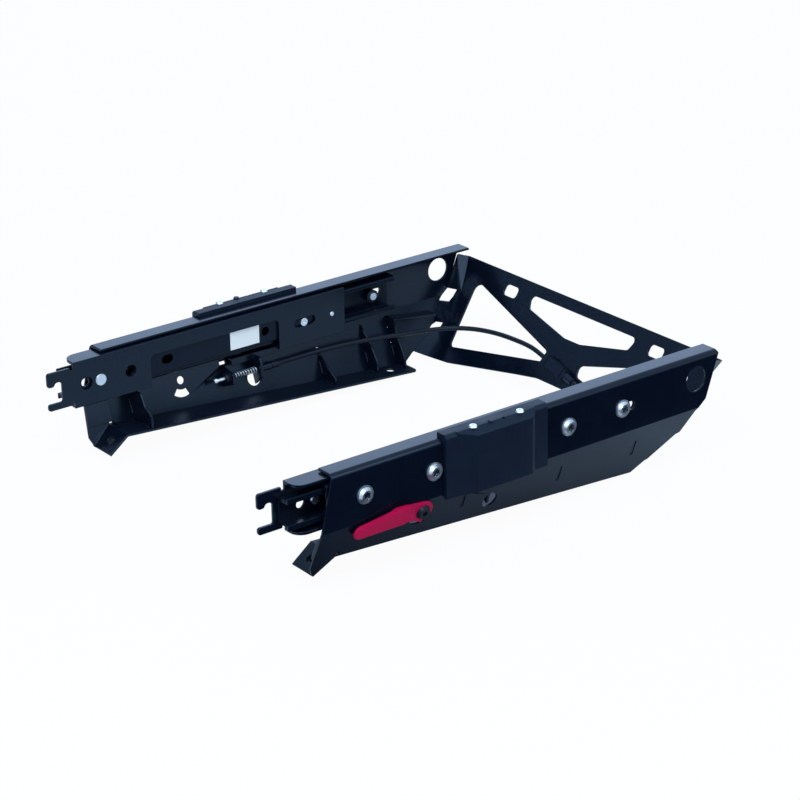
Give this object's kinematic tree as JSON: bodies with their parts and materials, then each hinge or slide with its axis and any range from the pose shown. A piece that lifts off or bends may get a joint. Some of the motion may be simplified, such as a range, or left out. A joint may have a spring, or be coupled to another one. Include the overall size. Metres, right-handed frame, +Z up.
{
  "type": "seat slide rail",
  "caption": "Ball-bearing seat slide rails with front hooks, held in folded side panels that a trussed cross brace and a cable link, with a red release lever.",
  "frame": {"origin": "middle of the bounding box in plan, at the lowest edge of the rear cross brace", "axes": "+X across the seat towards the lever's side, +Y from the hooks to the cross brace, +Z up"},
  "size_m": [0.4207, 0.5336, 0.1178],
  "materials": {
    "black_coated_steel": "satin black electrocoat",
    "zinc_plated_steel": "bright zinc plate",
    "bearing_steel": "ground",
    "black_plastic": "fine grained",
    "black_sheath": "smooth extruded sheath",
    "black_oxide_steel": "black oxide",
    "red_coated_steel": "crimson dip coating",
    "silver_film": "blank silver label film"
  },
  "bodies": {
    "frame": {"side_panel_left": "black_coated_steel", "side_panel_right": "black_coated_steel", "front_gusset_left": "black_coated_steel", "front_gusset_right": "black_coated_steel", "mid_gusset_left": "black_coated_steel", "mid_gusset_right": "black_coated_steel", "rear_gussets_left": "black_coated_steel", "rear_gussets_right": "black_coated_steel", "cross_brace": "black_coated_steel", "fixed_rail_left": "black_coated_steel", "fixed_rail_right": "black_coated_steel", "panel_screws_left": "zinc_plated_steel", "panel_screws_right": "zinc_plated_steel", "panel_nuts_left": "black_coated_steel", "panel_nuts_right": "black_coated_steel", "cover_left": "black_plastic", "cover_right": "black_plastic", "cover_screws_left": "zinc_plated_steel", "cover_screws_right": "zinc_plated_steel", "latch_plate_left": "black_coated_steel", "latch_plate_right": "black_coated_steel", "cable_stop_left": "black_coated_steel", "cable_stop_right": "black_coated_steel", "lever_pivot_bolt": "black_oxide_steel", "lever_pivot_nut": "black_oxide_steel", "return_spring": "zinc_plated_steel", "cable": "black_sheath", "cable_joint": "black_plastic"},
    "slide_left": {"sliding_rail_left": "black_coated_steel", "hook_bracket_left": "black_coated_steel", "bracket_rivets_left": "zinc_plated_steel", "slot_screw_left": "zinc_plated_steel"},
    "slide_right": {"sliding_rail_right": "black_coated_steel", "hook_bracket_right": "black_coated_steel", "bracket_rivets_right": "zinc_plated_steel", "slot_screw_right": "zinc_plated_steel", "rail_label": "silver_film"},
    "cage_left": {"ball_cage_left": "black_plastic", "balls_left": "bearing_steel"},
    "cage_right": {"ball_cage_right": "black_plastic", "balls_right": "bearing_steel"},
    "lever": {"lever_grip": "red_coated_steel", "lever_arm": "red_coated_steel"},
    "rod_left": {"release_rod_left": "zinc_plated_steel"},
    "rod_right": {"release_rod_right": "zinc_plated_steel"}
  },
  "joints": [
    {"name": "slide_left", "type": "slide", "parent": "frame", "child": "slide_left", "axis": [0, 1, 0], "range_m": [-0.06, 0.13]},
    {"name": "cage_left", "type": "slide", "parent": "frame", "child": "cage_left", "axis": [0, 1, 0], "range_m": [-0.03, 0.065]},
    {"name": "slide_right", "type": "slide", "parent": "frame", "child": "slide_right", "axis": [0, 1, 0], "range_m": [-0.06, 0.13]},
    {"name": "cage_right", "type": "slide", "parent": "frame", "child": "cage_right", "axis": [0, 1, 0], "range_m": [-0.03, 0.065]},
    {"name": "lever_lift", "type": "hinge", "parent": "frame", "child": "lever", "pos_m": [0.19747, -0.10484, 0.0485], "axis": [-0.9373, 0, 0.3486], "range_deg": [0, 22]},
    {"name": "rod_pull_left", "type": "slide", "parent": "frame", "child": "rod_left", "axis": [0, 1, 0], "range_m": [-0.0051, 0]},
    {"name": "rod_pull_right", "type": "slide", "parent": "frame", "child": "rod_right", "axis": [0, 1, 0], "range_m": [0, 0.0051], "deforming": ["return_spring"]}
  ],
  "couplings": [
    {"joint": "cage_left", "follows": "slide_left", "ratio": 0.5},
    {"joint": "cage_right", "follows": "slide_right", "ratio": 0.5},
    {"joint": "rod_pull_left", "follows": "lever_lift", "m_per_rad": -0.013119},
    {"joint": "rod_pull_right", "follows": "lever_lift", "m_per_rad": 0.013119}
  ]
}
